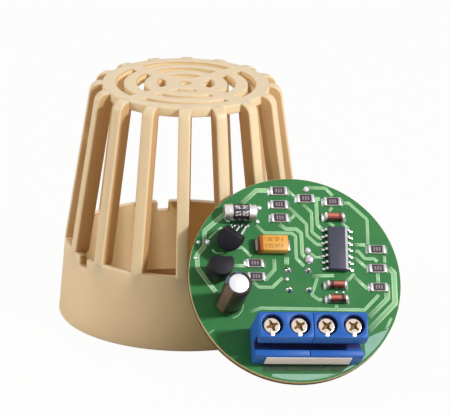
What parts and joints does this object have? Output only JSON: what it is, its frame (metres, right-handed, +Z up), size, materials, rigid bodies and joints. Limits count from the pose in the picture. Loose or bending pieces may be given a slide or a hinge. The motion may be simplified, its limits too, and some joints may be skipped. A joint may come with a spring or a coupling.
{
  "type": "sauna humidity sensor",
  "caption": "Humidity sensor for a sauna: a tapered vented housing and its round circuit board with screw terminals, leaning against it.",
  "frame": {"origin": "on the floor, under the middle of the box round the whole", "axes": "+Z up along the housing's axis, -Y towards the board's component side"},
  "size_m": [0.0634, 0.0708, 0.0455],
  "materials": {
    "chip_resistor_1": "dark glazed body with metal ends",
    "chip_resistor_10": "dark glazed body with metal ends",
    "chip_resistor_2": "dark glazed body with metal ends",
    "chip_resistor_3": "dark glazed body with metal ends",
    "chip_resistor_4": "dark glazed body with metal ends",
    "chip_resistor_5": "dark glazed body with metal ends",
    "chip_resistor_6": "dark glazed body with metal ends",
    "chip_resistor_7": "dark glazed body with metal ends",
    "chip_resistor_8": "dark glazed body with metal ends",
    "chip_resistor_9": "dark glazed body with metal ends",
    "circuit_board": "green solder mask over laminate",
    "clamp_cage_1": "plain brass",
    "clamp_cage_2": "plain brass",
    "clamp_cage_3": "plain brass",
    "clamp_cage_4": "plain brass",
    "electrolytic_can": "bright",
    "electrolytic_sleeve": "dark shrunk sleeve",
    "glass_diode_1": "orange glass with a dark band and metal ends",
    "glass_diode_2": "orange glass with a dark band and metal ends",
    "glass_diode_3": "orange glass with a dark band and metal ends",
    "humidity_element": "grey base",
    "humidity_element_cap": "pale vented cap",
    "label_strip": "bare pale strip",
    "logic_chip": "dark moulded body",
    "lying_capacitor": "dark body with metal ends",
    "screw_keeper_1": "bright tinned tongue",
    "screw_keeper_2": "bright tinned tongue",
    "screw_keeper_3": "bright tinned tongue",
    "screw_keeper_4": "bright tinned tongue",
    "tantalum_capacitor": "orange moulded body",
    "terminal_block_left": "blue moulded plastic",
    "terminal_block_right": "blue moulded plastic",
    "terminal_pin_1": "tinned",
    "terminal_pin_2": "tinned",
    "terminal_pin_3": "tinned",
    "terminal_pin_4": "tinned",
    "terminal_screw_1": "nickel-plated steel",
    "terminal_screw_2": "nickel-plated steel",
    "terminal_screw_3": "nickel-plated steel",
    "terminal_screw_4": "nickel-plated steel",
    "transistor_bent": "black moulded body",
    "transistor_upright": "black moulded body",
    "vented_housing": "satin moulded sand-coloured plastic"
  },
  "bodies": {
    "sensor": {"chip_resistor_1": "chip_resistor_1", "chip_resistor_10": "chip_resistor_10", "chip_resistor_2": "chip_resistor_2", "chip_resistor_3": "chip_resistor_3", "chip_resistor_4": "chip_resistor_4", "chip_resistor_5": "chip_resistor_5", "chip_resistor_6": "chip_resistor_6", "chip_resistor_7": "chip_resistor_7", "chip_resistor_8": "chip_resistor_8", "chip_resistor_9": "chip_resistor_9", "circuit_board": "circuit_board", "electrolytic_can": "electrolytic_can", "electrolytic_sleeve": "electrolytic_sleeve", "glass_diode_1": "glass_diode_1", "glass_diode_2": "glass_diode_2", "glass_diode_3": "glass_diode_3", "humidity_element": "humidity_element", "humidity_element_cap": "humidity_element_cap", "label_strip": "label_strip", "logic_chip": "logic_chip", "lying_capacitor": "lying_capacitor", "screw_keeper_1": "screw_keeper_1", "screw_keeper_2": "screw_keeper_2", "screw_keeper_3": "screw_keeper_3", "screw_keeper_4": "screw_keeper_4", "tantalum_capacitor": "tantalum_capacitor", "terminal_block_left": "terminal_block_left", "terminal_block_right": "terminal_block_right", "terminal_pin_1": "terminal_pin_1", "terminal_pin_2": "terminal_pin_2", "terminal_pin_3": "terminal_pin_3", "terminal_pin_4": "terminal_pin_4", "transistor_bent": "transistor_bent", "transistor_upright": "transistor_upright", "vented_housing": "vented_housing"},
    "screw_1": {"terminal_screw_1": "terminal_screw_1"},
    "clamp_1": {"clamp_cage_1": "clamp_cage_1"},
    "screw_2": {"terminal_screw_2": "terminal_screw_2"},
    "clamp_2": {"clamp_cage_2": "clamp_cage_2"},
    "screw_3": {"terminal_screw_3": "terminal_screw_3"},
    "clamp_3": {"clamp_cage_3": "clamp_cage_3"},
    "screw_4": {"terminal_screw_4": "terminal_screw_4"},
    "clamp_4": {"clamp_cage_4": "clamp_cage_4"}
  },
  "joints": [
    {"name": "screw_turn_1", "type": "hinge", "parent": "sensor", "child": "screw_1", "pos_m": [0.00701, -0.03281, 0.01318], "axis": [-0.1284, 0.7676, -0.628], "range_deg": [0, 720]},
    {"name": "clamp_rise_1", "type": "slide", "parent": "sensor", "child": "clamp_1", "axis": [0.1284, -0.7676, 0.628], "range_m": [0, 0.001]},
    {"name": "screw_turn_2", "type": "hinge", "parent": "sensor", "child": "screw_2", "pos_m": [0.01205, -0.03217, 0.01293], "axis": [-0.1284, 0.7676, -0.628], "range_deg": [0, 720]},
    {"name": "clamp_rise_2", "type": "slide", "parent": "sensor", "child": "clamp_2", "axis": [0.1284, -0.7676, 0.628], "range_m": [0, 0.001]},
    {"name": "screw_turn_3", "type": "hinge", "parent": "sensor", "child": "screw_3", "pos_m": [0.01708, -0.03154, 0.01268], "axis": [-0.1284, 0.7676, -0.628], "range_deg": [0, 720]},
    {"name": "clamp_rise_3", "type": "slide", "parent": "sensor", "child": "clamp_3", "axis": [0.1284, -0.7676, 0.628], "range_m": [0, 0.001]},
    {"name": "screw_turn_4", "type": "hinge", "parent": "sensor", "child": "screw_4", "pos_m": [0.02211, -0.0309, 0.01244], "axis": [-0.1284, 0.7676, -0.628], "range_deg": [0, 720]},
    {"name": "clamp_rise_4", "type": "slide", "parent": "sensor", "child": "clamp_4", "axis": [0.1284, -0.7676, 0.628], "range_m": [0, 0.001]}
  ],
  "couplings": [
    {"joint": "screw_turn_1", "follows": "clamp_rise_1", "rad_per_m": 12566},
    {"joint": "screw_turn_2", "follows": "clamp_rise_2", "rad_per_m": 12566},
    {"joint": "screw_turn_3", "follows": "clamp_rise_3", "rad_per_m": 12566},
    {"joint": "screw_turn_4", "follows": "clamp_rise_4", "rad_per_m": 12566}
  ]
}
